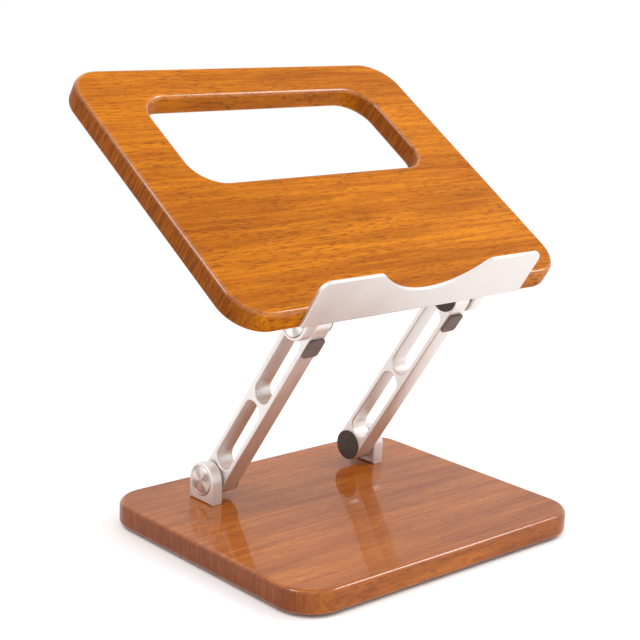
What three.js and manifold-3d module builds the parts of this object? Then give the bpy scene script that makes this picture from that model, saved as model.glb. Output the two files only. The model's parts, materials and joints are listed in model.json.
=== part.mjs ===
// A folding laptop stand: a wooden base and a wooden tray, joined by two slotted aluminium arms on
// friction hinges. Millimetres, +Z up, -Y towards the user, +X to the user's right.
import * as THREE from "three";
import { mergeVertices } from "three/addons/utils/BufferGeometryUtils.js";
import Module from "manifold-3d";

const wasm = await Module();
wasm.setup();

// ---- Driving dimensions ----------------------------------------------------------------------

// Base board and its feet.
const BASE_WIDTH = 240;
const BASE_DEPTH = 197;
const BASE_THICKNESS = 15.2;
const FOOT_RADIUS = 8;
const FOOT_PROUD = 1.5;
const FOOT_SUNK = 1.5;
const FOOT_INSET = 26;
const FOOT_EDGE = 0.5;

// Tray board and its cut-out.
const TRAY_WIDTH = 270.5;
const TRAY_DEPTH = 220;
const TRAY_THICKNESS = 15;
const CUTOUT_WIDTH = 190;
const CUTOUT_DEPTH = 80.5;
const CUTOUT_REAR_MARGIN = 29.5;
const CUTOUT_CORNER_RADIUS = 20;

// Both boards.
const BOARD_CORNER_RADIUS = 25;
const BOARD_ROUNDOVER = 3;
const BOARD_ROUNDOVER_STEPS = 2;

// Arms and the pose they are shown in.
const AXIS_DISTANCE = 147.7;
const ARM_HALF_WIDTH = 10.6;
const ARM_THICKNESS = 13.2;
const ARM_WALL = 3.5;
const ARM_WEB = 3.4;
const ARM_END_LAND = 12;
const ARM_CHAMFER = 0.7;
const ARM_INNER_SPACING = 105.6;
const ARM_LEAN_DEG = 33.9;
const TRAY_TILT_DEG = 32.4;
const LOWER_AXIS_FROM_REAR = 43.3;
const UPPER_AXIS_FROM_FRONT = 17.9;

// Hinge ears.
const EAR_THICKNESS = 8.5;
const EAR_RADIUS = 11.9;
const EAR_AXIS_HEIGHT = 13.8;
const EAR_CHAMFER = 0.7;
const EAR_SCREW_SPACING = 15;
const EAR_SCREW_DEPTH = 7;

// Hinge hardware.
const BOLT_RADIUS = 3;
const BOLT_HEAD_RADIUS = 5.4;
const BOLT_HEAD_HEIGHT = 2.5;
const BOLT_END_CHAMFER = 0.6;
const DISC_RADIUS = 9.6;
const DISC_THICKNESS = 1.8;
const DISC_PROUD = 0.5;
const DISC_EDGE = 0.3;
const FRICTION_WASHER_RADIUS = 8;
const FRICTION_WASHER_THICKNESS = 0.5;
const SPRING_WASHER_RADIUS = 6;
const SPRING_WASHER_THICKNESS = 1.2;
const NUT_ACROSS_FLATS = 10;
const NUT_THICKNESS = 4;
const NUT_WELL_RADIUS = 8.2;
const NUT_WELL_DEPTH = 8.3;
const CAP_RADIUS = 10.2;
const CAP_RIM_THICKNESS = 0.9;
const CAP_PLUG_DEPTH = 1.6;
const CAP_EDGE = 0.4;

// Arm pads.
const PAD_LENGTH = 14.5;
const PAD_WIDTH = 12.4;
const PAD_THICKNESS = 1.7;
const PAD_CORNER_RADIUS = 2.4;
const PAD_EDGE = 0.4;
const PAD_FROM_UPPER_AXIS = 14.4;

// Lip plate along the tray's front edge.
const LIP_WIDTH = 185;
const LIP_SHEET = 2.5;
const LIP_RISE = 22.6;
const LIP_DROP = 11.6;
const LIP_CORNER_RADIUS = 7;
const LIP_FOOT_RADIUS = 1;
const LIP_EDGE = 0.4;
const SCALLOP_DEPTH = 17.6;
const SCALLOP_RADIUS = 67;
const SCALLOP_SHOULDER_RADIUS = 8;
const FLANGE_WIDTH = 92;
const FLANGE_DEPTH = 32;
const FLANGE_SINK = 1;
const BEND_INNER_RADIUS = 1.5;
const BEND_OVERLAP = 3;
const POCKET_REACH = 5;
const LIP_SCREW_SPACING = 30;
const LIP_SCREW_SETBACK = 18;

// Screws and clearances.
const SCREW_RADIUS = 1.5;
const SCREW_HEAD_RADIUS = 3.1;
const SCREW_HEAD_HEIGHT = 1.7;
const STUD_IN_BOARD = 9;
const WOOD_SCREW_LENGTH = 9;
const SCREW_TAPER = 1;
const SCREW_TIP_RADIUS = 0.5;
const GAP = 0.25;
const HOLE_GAP = 0.3;
const OVERCUT = 1;

// Flat steps in one arc of an outline, and round a turned piece.
const BOARD_CORNER_STEPS = 6;
const LIP_STEPS = 10;
const END_STEPS = 12;
const PAD_CORNER_STEPS = 4;
const SCREW_SIDES = 12;
const BOLT_SIDES = 16;
const DISC_SIDES = 24;

// ---- Worked-out places -----------------------------------------------------------------------

const baseTop = FOOT_PROUD + BASE_THICKNESS;
const lowerAxisY = BASE_DEPTH / 2 - LOWER_AXIS_FROM_REAR;
const lowerAxis = new THREE.Vector3(0, lowerAxisY, baseTop + GAP + EAR_AXIS_HEIGHT);
const armInnerX = ARM_INNER_SPACING / 2;
const armOuterX = armInnerX + ARM_THICKNESS;
const earInnerX = armOuterX + FRICTION_WASHER_THICKNESS + 2 * GAP;
const earOuterX = earInnerX + EAR_THICKNESS;
const earMiddleX = (earInnerX + earOuterX) / 2;
const trayUnder = EAR_AXIS_HEIGHT + GAP;
const trayTop = trayUnder + TRAY_THICKNESS;
const sides = { left: -1, right: 1 };

// ---- Materials -------------------------------------------------------------------------------

const finish = (color, roughness, metalness) =>
  new THREE.MeshStandardMaterial({ color, roughness, metalness });
const trayWood = finish(0xc9772a, 0.35, 0);
const baseWood = finish(0xb3693a, 0.25, 0);
const aluminium = finish(0xd9cfc8, 0.4, 1);
const lipPaint = finish(0xdedbd5, 0.5, 0.6);
const spunMetal = finish(0xcabdb6, 0.3, 1);
const steel = finish(0xa9a9a9, 0.35, 1);
const rubber = finish(0x4a3e37, 0.8, 0);
const padRubber = finish(0x6c5b55, 0.8, 0);
const footRubber = finish(0x2e2b29, 0.9, 0);
const nylon = finish(0xe6e2da, 0.6, 0);

// ---- Shape tools -----------------------------------------------------------------------------

// A closed geometry as a solid that can be joined and cut.
function toSolid(geometry) {
  const bare = geometry.clone();
  bare.deleteAttribute("normal");
  bare.deleteAttribute("uv");
  const merged = mergeVertices(bare, 1e-4);
  return new wasm.Manifold(
    new wasm.Mesh({
      numProp: 3,
      vertProperties: merged.attributes.position.array,
      triVerts: new Uint32Array(merged.index.array),
    }),
  );
}

// A solid back as a geometry.
function toGeometry(solid) {
  const mesh = solid.getMesh();
  const geometry = new THREE.BufferGeometry();
  geometry.setAttribute("position", new THREE.BufferAttribute(mesh.vertProperties, 3));
  geometry.setIndex(new THREE.BufferAttribute(mesh.triVerts, 1));
  return geometry;
}

// body with every tool taken out of it.
function cut(body, tools) {
  return toGeometry(tools.reduce((left, tool) => left.subtract(toSolid(tool)), toSolid(body)));
}

// A rounded rectangle centred on the origin, as a shape or as a hole.
function roundedRectangle(width, height, radius, Kind = THREE.Shape) {
  const x = width / 2;
  const y = height / 2;
  const outline = new Kind();
  outline.absarc(x - radius, -y + radius, radius, -Math.PI / 2, 0);
  outline.absarc(x - radius, y - radius, radius, 0, Math.PI / 2);
  outline.absarc(-x + radius, y - radius, radius, Math.PI / 2, Math.PI);
  outline.absarc(-x + radius, -y + radius, radius, Math.PI, 1.5 * Math.PI);
  outline.closePath();
  return outline;
}

// A slot or an arm outline: two half rounds of a radius about (0, from) and (0, to).
function stadium(from, to, radius, Kind = THREE.Shape) {
  const outline = new Kind();
  outline.absarc(0, from, radius, Math.PI, 2 * Math.PI);
  outline.absarc(0, to, radius, 0, Math.PI);
  outline.closePath();
  return outline;
}

// A shape given thickness along +Z from 0, its edges eased by a bevel that stays inside the shape.
// ExtrudeGeometry gives an arc twice as many steps as its curveSegments.
function plate(shape, thickness, bevel, bevelSteps, arcSteps) {
  const geometry = new THREE.ExtrudeGeometry(shape, {
    depth: thickness - 2 * bevel,
    bevelEnabled: bevel > 0,
    bevelThickness: bevel,
    bevelSize: bevel,
    bevelOffset: -bevel,
    bevelSegments: bevelSteps,
    curveSegments: arcSteps / 2,
  });
  return geometry.translate(0, 0, bevel);
}

// Turns a plate drawn in the YZ plane so that its thickness runs along +X from x.
const acrossX = new THREE.Matrix4().makeBasis(
  new THREE.Vector3(0, 1, 0),
  new THREE.Vector3(0, 0, 1),
  new THREE.Vector3(1, 0, 0),
);
const sideways = (geometry, x) => geometry.applyMatrix4(acrossX).translate(x, 0, 0);

// A turned piece about +Z. Each profile point is [radius, height]; it runs from the lowest to the
// highest point of the axis, or closes on itself round a bore.
function turned(profile, flats) {
  const points = profile.map(([radius, height]) => new THREE.Vector2(radius, height));
  return new THREE.LatheGeometry(points, flats).rotateX(Math.PI / 2);
}
const rod = (radius, from, to, flats) =>
  turned([[0, from], [radius, from], [radius, to], [0, to]], flats);
const ring = (bore, radius, from, to, flats) =>
  turned([[bore, from], [radius, from], [radius, to], [bore, to], [bore, from]], flats);

// A turned piece laid along X, its +Z end pointing away from the stand's middle.
const outward = (geometry, side) => geometry.rotateY((side * Math.PI) / 2);

function place(parent, name, geometry, material, x = 0, y = 0, z = 0) {
  const mesh = new THREE.Mesh(geometry, material);
  mesh.name = name;
  mesh.position.set(x, y, z);
  parent.add(mesh);
}

// ---- Boards ----------------------------------------------------------------------------------

const earScrewPlaces = Object.values(sides).flatMap((side) =>
  [-1, 1].map((end) => ({ x: side * earMiddleX, y: (end * EAR_SCREW_SPACING) / 2 })),
);
const footPlaces = Object.entries(sides).flatMap(([sideName, side]) =>
  [["front", -1], ["rear", 1]].map(([endName, end]) => ({
    name: `foot_${endName}_${sideName}`,
    x: side * (BASE_WIDTH / 2 - FOOT_INSET),
    y: end * (BASE_DEPTH / 2 - FOOT_INSET),
  })),
);

// A flat-headed screw standing on its head at height 0.
function flatHeadScrew(length) {
  const profile = [[0, 0], [SCREW_HEAD_RADIUS, 0], [SCREW_RADIUS, SCREW_HEAD_HEIGHT]];
  const tip = [[SCREW_RADIUS, length - SCREW_TAPER], [SCREW_TIP_RADIUS, length], [0, length]];
  return turned([...profile, ...tip], SCREW_SIDES);
}

// The hole that such a screw passes through, from its face at height 0 up to a depth.
function screwHole(depth) {
  const mouth = SCREW_HEAD_RADIUS + HOLE_GAP;
  const bore = SCREW_RADIUS + HOLE_GAP;
  const coneEnd = SCREW_HEAD_HEIGHT + HOLE_GAP;
  const cone = [[0, -OVERCUT], [mouth, -OVERCUT], [mouth, HOLE_GAP], [bore, coneEnd]];
  return turned([...cone, [bore, depth], [0, depth]], SCREW_SIDES);
}

function baseBoard() {
  const outline = roundedRectangle(BASE_WIDTH, BASE_DEPTH, BOARD_CORNER_RADIUS);
  const board = plate(
    outline, BASE_THICKNESS, BOARD_ROUNDOVER, BOARD_ROUNDOVER_STEPS, BOARD_CORNER_STEPS,
  );
  const screwHoles = earScrewPlaces.map(({ x, y }) =>
    screwHole(BASE_THICKNESS + OVERCUT).translate(x, lowerAxis.y + y, 0),
  );
  const footWells = footPlaces.map(({ x, y }) =>
    rod(FOOT_RADIUS + HOLE_GAP, -OVERCUT, FOOT_SUNK + GAP, BOLT_SIDES).translate(x, y, 0),
  );
  return cut(board, [...screwHoles, ...footWells]);
}

// The tray board in its own frame: the upper axis at the origin, +Y up the tray, +Z out of its top.
const trayFront = -UPPER_AXIS_FROM_FRONT;
const trayMiddleY = trayFront + TRAY_DEPTH / 2;
const flangeBottom = trayUnder + FLANGE_SINK;
const flangeTop = flangeBottom + LIP_SHEET;
const lipFaceY = trayFront - GAP - LIP_SHEET;
const bendOuterRadius = BEND_INNER_RADIUS + LIP_SHEET;
const bendY = lipFaceY + bendOuterRadius;
const bendZ = flangeBottom + bendOuterRadius;
const flangeEndY = lipFaceY + FLANGE_DEPTH;

// The pocket under the tray that the lip's flange lies in, with an eased front edge for the bend.
function flangePocket() {
  const ease = BEND_INNER_RADIUS - GAP;
  const wellTop = flangeTop + GAP;
  const profile = new THREE.Shape();
  profile.moveTo(lipFaceY - POCKET_REACH, trayUnder - POCKET_REACH);
  profile.lineTo(flangeEndY + HOLE_GAP, trayUnder - POCKET_REACH);
  profile.lineTo(flangeEndY + HOLE_GAP, wellTop);
  profile.lineTo(bendY, wellTop);
  profile.absarc(bendY, bendZ, ease, -Math.PI / 2, Math.PI, true);
  profile.lineTo(lipFaceY - POCKET_REACH, bendZ);
  profile.closePath();
  const width = FLANGE_WIDTH + 2 * HOLE_GAP;
  return sideways(plate(profile, width, 0, 0, PAD_CORNER_STEPS), -width / 2);
}

const lipScrewPlaces = { left: -1, middle: 0, right: 1 };
const lipScrewY = lipFaceY + LIP_SCREW_SETBACK;

function trayBoard() {
  const outline = roundedRectangle(TRAY_WIDTH, TRAY_DEPTH, BOARD_CORNER_RADIUS);
  const cutoutShift = TRAY_DEPTH / 2 - CUTOUT_REAR_MARGIN - CUTOUT_DEPTH / 2;
  const opening = roundedRectangle(CUTOUT_WIDTH, CUTOUT_DEPTH, CUTOUT_CORNER_RADIUS, THREE.Path);
  const rim = opening.getPoints(BOARD_CORNER_STEPS / 2);
  const shift = new THREE.Vector2(0, cutoutShift);
  outline.holes.push(new THREE.Path(rim.map((point) => point.add(shift))));
  const board = plate(
    outline, TRAY_THICKNESS, BOARD_ROUNDOVER, BOARD_ROUNDOVER_STEPS, BOARD_CORNER_STEPS,
  );
  board.translate(0, trayMiddleY, trayUnder);
  const studHoles = earScrewPlaces.map(({ x, y }) =>
    rod(SCREW_RADIUS + HOLE_GAP, -OVERCUT, STUD_IN_BOARD + HOLE_GAP, SCREW_SIDES)
      .translate(x, y, trayUnder),
  );
  const pilotTop = flangeBottom + WOOD_SCREW_LENGTH + HOLE_GAP;
  const pilots = Object.values(lipScrewPlaces).map((n) =>
    rod(SCREW_RADIUS + HOLE_GAP, trayUnder - OVERCUT, pilotTop, SCREW_SIDES)
      .translate(n * LIP_SCREW_SPACING, lipScrewY, 0),
  );
  return cut(board, [flangePocket(), ...studHoles, ...pilots]);
}

// ---- Lip plate -------------------------------------------------------------------------------

// The lip's face: level ends with round corners, and a hollow in the middle that runs into them
// over round shoulders. Drawn with y = 0 at the tray's top.
function lipOutline() {
  const quarter = Math.PI / 2;
  const footX = LIP_WIDTH / 2 - LIP_FOOT_RADIUS;
  const footY = -LIP_DROP + LIP_FOOT_RADIUS;
  const cornerX = LIP_WIDTH / 2 - LIP_CORNER_RADIUS;
  const cornerY = LIP_RISE - LIP_CORNER_RADIUS;
  const hollowY = LIP_RISE - SCALLOP_DEPTH + SCALLOP_RADIUS;
  const shoulderY = LIP_RISE - SCALLOP_SHOULDER_RADIUS;
  const reach = SCALLOP_RADIUS + SCALLOP_SHOULDER_RADIUS;
  const shoulderX = Math.sqrt(reach ** 2 - (hollowY - shoulderY) ** 2);
  const turn = Math.atan2(hollowY - shoulderY, shoulderX);
  const outline = new THREE.Shape();
  outline.absarc(footX, footY, LIP_FOOT_RADIUS, -quarter, 0);
  outline.absarc(cornerX, cornerY, LIP_CORNER_RADIUS, 0, quarter);
  outline.absarc(shoulderX, shoulderY, SCALLOP_SHOULDER_RADIUS, quarter, Math.PI - turn);
  outline.absarc(0, hollowY, SCALLOP_RADIUS, -turn, -Math.PI + turn, true);
  outline.absarc(-shoulderX, shoulderY, SCALLOP_SHOULDER_RADIUS, turn, quarter);
  outline.absarc(-cornerX, cornerY, LIP_CORNER_RADIUS, quarter, Math.PI);
  outline.absarc(-footX, footY, LIP_FOOT_RADIUS, Math.PI, 3 * quarter);
  outline.closePath();
  return outline;
}

// The flange and its bend, as an L profile in the YZ plane that overlaps the face above the bend.
function flangeProfile() {
  const profile = new THREE.Shape();
  profile.moveTo(lipFaceY, bendZ + BEND_OVERLAP);
  profile.lineTo(lipFaceY, bendZ);
  profile.absarc(bendY, bendZ, bendOuterRadius, Math.PI, 1.5 * Math.PI);
  profile.lineTo(flangeEndY, flangeBottom);
  profile.lineTo(flangeEndY, flangeTop);
  profile.lineTo(bendY, flangeTop);
  profile.absarc(bendY, bendZ, BEND_INNER_RADIUS, -Math.PI / 2, Math.PI, true);
  profile.lineTo(lipFaceY + LIP_SHEET, bendZ + BEND_OVERLAP);
  profile.closePath();
  return profile;
}

function lipPlate() {
  const face = plate(lipOutline(), LIP_SHEET, LIP_EDGE, 1, LIP_STEPS);
  face.rotateX(Math.PI / 2).translate(0, trayFront - GAP, trayTop);
  const bent = plate(flangeProfile(), FLANGE_WIDTH, 0, 0, PAD_CORNER_STEPS);
  const flange = sideways(bent, -FLANGE_WIDTH / 2);
  const whole = toGeometry(toSolid(face).add(toSolid(flange)));
  const holes = Object.values(lipScrewPlaces).map((n) =>
    screwHole(LIP_SHEET + OVERCUT).translate(n * LIP_SCREW_SPACING, lipScrewY, flangeBottom),
  );
  return cut(whole, holes);
}

// ---- Hinge pieces, in a frame with the hinge axis through the origin --------------------------

// An ear with its flat foot down, at x = earInnerX to earOuterX on its side of the stand.
function ear(side) {
  const outline = new THREE.Shape();
  outline.moveTo(-EAR_RADIUS, -EAR_AXIS_HEIGHT);
  outline.lineTo(EAR_RADIUS, -EAR_AXIS_HEIGHT);
  outline.absarc(0, 0, EAR_RADIUS, 0, Math.PI);
  outline.closePath();
  const block = plate(outline, EAR_THICKNESS, EAR_CHAMFER, 1, END_STEPS);
  sideways(block, side > 0 ? earInnerX : -earOuterX);
  const discWellX = earOuterX + DISC_PROUD - DISC_THICKNESS - GAP;
  const headWellX = discWellX - BOLT_HEAD_HEIGHT - GAP;
  const bores = [
    rod(BOLT_RADIUS + HOLE_GAP, earInnerX - OVERCUT, earOuterX + OVERCUT, BOLT_SIDES),
    rod(BOLT_HEAD_RADIUS + HOLE_GAP, headWellX, earOuterX + OVERCUT, BOLT_SIDES),
    rod(DISC_RADIUS + HOLE_GAP, discWellX, earOuterX + OVERCUT, DISC_SIDES),
  ].map((bore) => outward(bore, side));
  const screwHoleTop = -EAR_AXIS_HEIGHT + EAR_SCREW_DEPTH + HOLE_GAP;
  const screwHoles = [-1, 1].map((end) =>
    rod(SCREW_RADIUS + HOLE_GAP, -EAR_AXIS_HEIGHT - OVERCUT, screwHoleTop, SCREW_SIDES)
      .translate(side * earMiddleX, (end * EAR_SCREW_SPACING) / 2, 0),
  );
  return cut(block, [...bores, ...screwHoles]);
}

// An arm standing on the lower axis, its far end at z = AXIS_DISTANCE.
function arm(side) {
  const outline = stadium(0, AXIS_DISTANCE, ARM_HALF_WIDTH);
  const slotRadius = ARM_HALF_WIDTH - ARM_WALL;
  const middle = AXIS_DISTANCE / 2;
  const first = ARM_END_LAND + slotRadius;
  const last = middle - ARM_WEB / 2 - slotRadius;
  outline.holes.push(
    stadium(first, last, slotRadius, THREE.Path),
    stadium(AXIS_DISTANCE - last, AXIS_DISTANCE - first, slotRadius, THREE.Path),
  );
  const bar = plate(outline, ARM_THICKNESS, ARM_CHAMFER, 1, END_STEPS);
  sideways(bar, side > 0 ? armInnerX : -armOuterX);
  const bores = [0, AXIS_DISTANCE].flatMap((z) =>
    [
      rod(BOLT_RADIUS + HOLE_GAP, armInnerX - OVERCUT, armOuterX + OVERCUT, BOLT_SIDES),
      rod(NUT_WELL_RADIUS, armInnerX - OVERCUT, armInnerX + NUT_WELL_DEPTH, DISC_SIDES),
    ].map((bore) => outward(bore, side).translate(0, 0, z)),
  );
  return cut(bar, bores);
}

const headInnerX = earOuterX + DISC_PROUD - DISC_THICKNESS - GAP - BOLT_HEAD_HEIGHT;
const springWasherX = armInnerX + NUT_WELL_DEPTH - GAP;
const nutX = springWasherX - SPRING_WASHER_THICKNESS - GAP;
const boltEndX = nutX - NUT_THICKNESS - GAP;

function hingeBolt(side) {
  const headOuterX = headInnerX + BOLT_HEAD_HEIGHT;
  const profile = [
    [0, boltEndX],
    [BOLT_RADIUS - BOLT_END_CHAMFER, boltEndX],
    [BOLT_RADIUS, boltEndX + BOLT_END_CHAMFER],
    [BOLT_RADIUS, headInnerX],
    [BOLT_HEAD_RADIUS, headInnerX],
    [BOLT_HEAD_RADIUS, headOuterX - GAP],
    [0, headOuterX - GAP],
  ];
  return outward(turned(profile, BOLT_SIDES), side);
}

function coverDisc(side) {
  const outer = earOuterX + DISC_PROUD;
  const inner = outer - DISC_THICKNESS;
  const rim = [[DISC_RADIUS, outer - DISC_EDGE], [DISC_RADIUS - DISC_EDGE, outer]];
  return outward(turned([[0, inner], [DISC_RADIUS, inner], ...rim, [0, outer]], DISC_SIDES), side);
}

function frictionWasher(side) {
  const from = armOuterX + GAP;
  const to = from + FRICTION_WASHER_THICKNESS;
  return outward(ring(BOLT_RADIUS + HOLE_GAP, FRICTION_WASHER_RADIUS, from, to, BOLT_SIDES), side);
}

function springWasher(side) {
  const from = springWasherX - SPRING_WASHER_THICKNESS;
  const to = springWasherX;
  return outward(ring(BOLT_RADIUS + HOLE_GAP, SPRING_WASHER_RADIUS, from, to, BOLT_SIDES), side);
}

function lockNut(side) {
  const reach = NUT_ACROSS_FLATS / Math.sqrt(3);
  const corners = [0, 1, 2, 3, 4, 5].map((corner) => (corner * Math.PI) / 3);
  const hexagon = new THREE.Shape(
    corners.map((turn) => new THREE.Vector2(reach * Math.cos(turn), reach * Math.sin(turn))),
  );
  hexagon.holes.push(new THREE.Path().absarc(0, 0, BOLT_RADIUS + HOLE_GAP, 0, 2 * Math.PI));
  const nut = plate(hexagon, NUT_THICKNESS, 0, 0, BOLT_SIDES).translate(0, 0, nutX - NUT_THICKNESS);
  return outward(nut, side);
}

// The dark cap that closes the nut's well: a rim against the arm and a plug inside the well.
function wellCap(side) {
  const rimOuter = armInnerX - GAP;
  const rimInner = rimOuter - CAP_RIM_THICKNESS;
  const plugRadius = NUT_WELL_RADIUS - HOLE_GAP;
  const profile = [
    [0, rimInner],
    [CAP_RADIUS - CAP_EDGE, rimInner],
    [CAP_RADIUS, rimInner + CAP_EDGE],
    [CAP_RADIUS, rimOuter],
    [plugRadius, rimOuter],
    [plugRadius, armInnerX + CAP_PLUG_DEPTH],
    [0, armInnerX + CAP_PLUG_DEPTH],
  ];
  return outward(turned(profile, DISC_SIDES), side);
}

function armPad() {
  const outline = roundedRectangle(PAD_WIDTH, PAD_LENGTH, PAD_CORNER_RADIUS);
  return plate(outline, PAD_THICKNESS, PAD_EDGE, 1, PAD_CORNER_STEPS).rotateX(Math.PI / 2);
}

function foot() {
  const height = FOOT_PROUD + FOOT_SUNK;
  const edge = [[FOOT_RADIUS - FOOT_EDGE, 0], [FOOT_RADIUS, FOOT_EDGE]];
  return turned([[0, 0], ...edge, [FOOT_RADIUS, height], [0, height]], BOLT_SIDES);
}

function stud() {
  return rod(SCREW_RADIUS, -EAR_SCREW_DEPTH, STUD_IN_BOARD, SCREW_SIDES);
}

// ---- The stand -------------------------------------------------------------------------------

const stand = new THREE.Group();
const base = new THREE.Group();
const lowerHinge = new THREE.Group();
const arms = new THREE.Group();
const tray = new THREE.Group();
lowerHinge.position.copy(lowerAxis);
arms.position.copy(lowerAxis);
arms.rotation.x = THREE.MathUtils.degToRad(ARM_LEAN_DEG);
tray.position.set(0, 0, AXIS_DISTANCE).applyEuler(arms.rotation).add(lowerAxis);
tray.rotation.x = THREE.MathUtils.degToRad(TRAY_TILT_DEG);
stand.add(base, lowerHinge, arms, tray);

place(base, "base_board", baseBoard(), baseWood, 0, 0, FOOT_PROUD);
for (const { name, x, y } of footPlaces) place(base, name, foot(), footRubber, x, y, 0);

place(tray, "tray_board", trayBoard(), trayWood);
place(tray, "lip_plate", lipPlate(), lipPaint);
for (const [where, n] of Object.entries(lipScrewPlaces)) {
  const screw = flatHeadScrew(WOOD_SCREW_LENGTH);
  place(tray, `lip_screw_${where}`, screw, steel, n * LIP_SCREW_SPACING, lipScrewY, flangeBottom);
}

// The hardware of one hinge, in a group that has the hinge axis through its origin.
function addHinge(group, level, sideName, side) {
  place(group, `${level}_bolt_${sideName}`, hingeBolt(side), steel);
  place(group, `${level}_friction_washer_${sideName}`, frictionWasher(side), nylon);
  place(group, `${level}_spring_washer_${sideName}`, springWasher(side), steel);
  place(group, `${level}_lock_nut_${sideName}`, lockNut(side), steel);
  place(group, `${level}_disc_${sideName}`, coverDisc(side), spunMetal);
}

for (const [sideName, side] of Object.entries(sides)) {
  place(lowerHinge, `base_ear_${sideName}`, ear(side), aluminium);
  addHinge(lowerHinge, "lower", sideName, side);

  place(arms, `arm_${sideName}`, arm(side), aluminium);
  place(arms, `lower_cap_${sideName}`, wellCap(side), rubber);
  place(arms, `upper_cap_${sideName}`, wellCap(side), rubber, 0, 0, AXIS_DISTANCE);
  const padX = (side * (armInnerX + armOuterX)) / 2;
  const padY = -ARM_HALF_WIDTH - GAP;
  const padZ = AXIS_DISTANCE - PAD_FROM_UPPER_AXIS;
  place(arms, `arm_pad_${sideName}`, armPad(), padRubber, padX, padY, padZ);

  const trayEar = new THREE.Group();
  trayEar.rotation.x = Math.PI;
  tray.add(trayEar);
  place(trayEar, `tray_ear_${sideName}`, ear(side), aluminium);
  addHinge(tray, "upper", sideName, side);

  for (const [endName, end] of [["front", -1], ["rear", 1]]) {
    const y = (end * EAR_SCREW_SPACING) / 2;
    const x = side * earMiddleX;
    const screw = flatHeadScrew(BASE_THICKNESS + GAP + EAR_SCREW_DEPTH - HOLE_GAP);
    const screwName = `base_ear_screw_${endName}_${sideName}`;
    place(base, screwName, screw, steel, x, lowerAxis.y + y, FOOT_PROUD + HOLE_GAP);
    place(tray, `tray_ear_stud_${endName}_${sideName}`, stud(), steel, x, y, trayUnder);
  }
}

// The origin lies on the floor, under the middle of the stand's box.
const box = new THREE.Box3().setFromObject(stand, true);
stand.position.y = -(box.min.y + box.max.y) / 2;

export default stand;
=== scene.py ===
import json
import math

import bmesh
import bpy
from mathutils import Matrix, Vector


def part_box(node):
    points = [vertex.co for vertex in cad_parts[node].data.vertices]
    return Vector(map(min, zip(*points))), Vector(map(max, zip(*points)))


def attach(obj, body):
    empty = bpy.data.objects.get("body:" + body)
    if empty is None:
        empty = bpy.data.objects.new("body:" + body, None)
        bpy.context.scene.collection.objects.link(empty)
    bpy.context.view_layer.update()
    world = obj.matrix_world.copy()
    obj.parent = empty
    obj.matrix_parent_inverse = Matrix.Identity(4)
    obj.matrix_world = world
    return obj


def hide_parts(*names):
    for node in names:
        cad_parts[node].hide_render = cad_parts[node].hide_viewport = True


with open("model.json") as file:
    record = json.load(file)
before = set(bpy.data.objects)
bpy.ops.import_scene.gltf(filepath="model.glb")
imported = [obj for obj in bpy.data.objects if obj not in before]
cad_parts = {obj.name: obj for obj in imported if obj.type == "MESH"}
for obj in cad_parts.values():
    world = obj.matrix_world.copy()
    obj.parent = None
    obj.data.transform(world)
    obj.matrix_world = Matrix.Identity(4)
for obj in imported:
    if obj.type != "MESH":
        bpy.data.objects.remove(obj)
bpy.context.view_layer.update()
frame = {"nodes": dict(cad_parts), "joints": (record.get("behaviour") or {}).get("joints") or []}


# ---- Studio ----------------------------------------------------------------------------------
# White paper under the stand in an even white room, with a small bright soft box high on each
# side to light the rounded edges. The camera stands in front, to the left, a little above the tray.
MM = 0.001
scene = bpy.context.scene
scene.view_settings.view_transform = "Standard"

CAMERA_AIM = Vector((0.0223, 0.0382, 0.1238))
CAMERA_AZIMUTH = math.radians(-42.30)
CAMERA_ELEVATION = math.radians(13.74)
CAMERA_ROLL = math.radians(2.57)
CAMERA_DISTANCE = 1.0149
CAMERA_LENS = 85.38
CAMERA_SENSOR = 36.0
CAMERA_REACH = 20


def turn_frame(back, roll):
    """A rotation whose Z axis points along back, its X axis level before the roll."""
    right = Vector((0, 0, 1)).cross(back).normalized()
    up = back.cross(right)
    level = Matrix((right, up, back)).transposed()
    return (level @ Matrix.Rotation(roll, 3, "Z")).to_4x4()


camera_data = bpy.data.cameras.new("camera")
camera_data.lens = CAMERA_LENS
camera_data.sensor_width = CAMERA_SENSOR
camera_data.clip_end = CAMERA_REACH
camera = bpy.data.objects.new("camera", camera_data)
scene.collection.objects.link(camera)
camera_back = Vector((
    math.sin(CAMERA_AZIMUTH) * math.cos(CAMERA_ELEVATION),
    -math.cos(CAMERA_AZIMUTH) * math.cos(CAMERA_ELEVATION),
    math.sin(CAMERA_ELEVATION),
))
camera_place = Matrix.Translation(CAMERA_AIM + CAMERA_DISTANCE * camera_back)
camera.matrix_world = camera_place @ turn_frame(camera_back, CAMERA_ROLL)
scene.camera = camera

STAND_MIDDLE = Vector((0, 0, 0.12))
ROOM_BRIGHTNESS = 1.08


def soft_light(name, place, width, height, power):
    """A rectangular studio light at a place, facing the middle of the stand."""
    data = bpy.data.lights.new(name, "AREA")
    data.shape = "RECTANGLE"
    data.size = width
    data.size_y = height
    data.energy = power
    light = bpy.data.objects.new(name, data)
    back = (Vector(place) - STAND_MIDDLE).normalized()
    light.matrix_world = Matrix.Translation(place) @ turn_frame(back, 0)
    scene.collection.objects.link(light)


soft_light("left_box", place=(-0.76, 0.07, 1.17), width=0.42, height=0.42, power=4.6)
soft_light("right_box", place=(0.85, -0.42, 0.95), width=0.42, height=0.5, power=6.5)

world = bpy.data.worlds.new("white_room")
world.use_nodes = True
room = world.node_tree.nodes["Background"]
room.inputs["Color"].default_value = (1.0, 1.0, 1.0, 1)
room.inputs["Strength"].default_value = ROOM_BRIGHTNESS
scene.world = world

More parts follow.
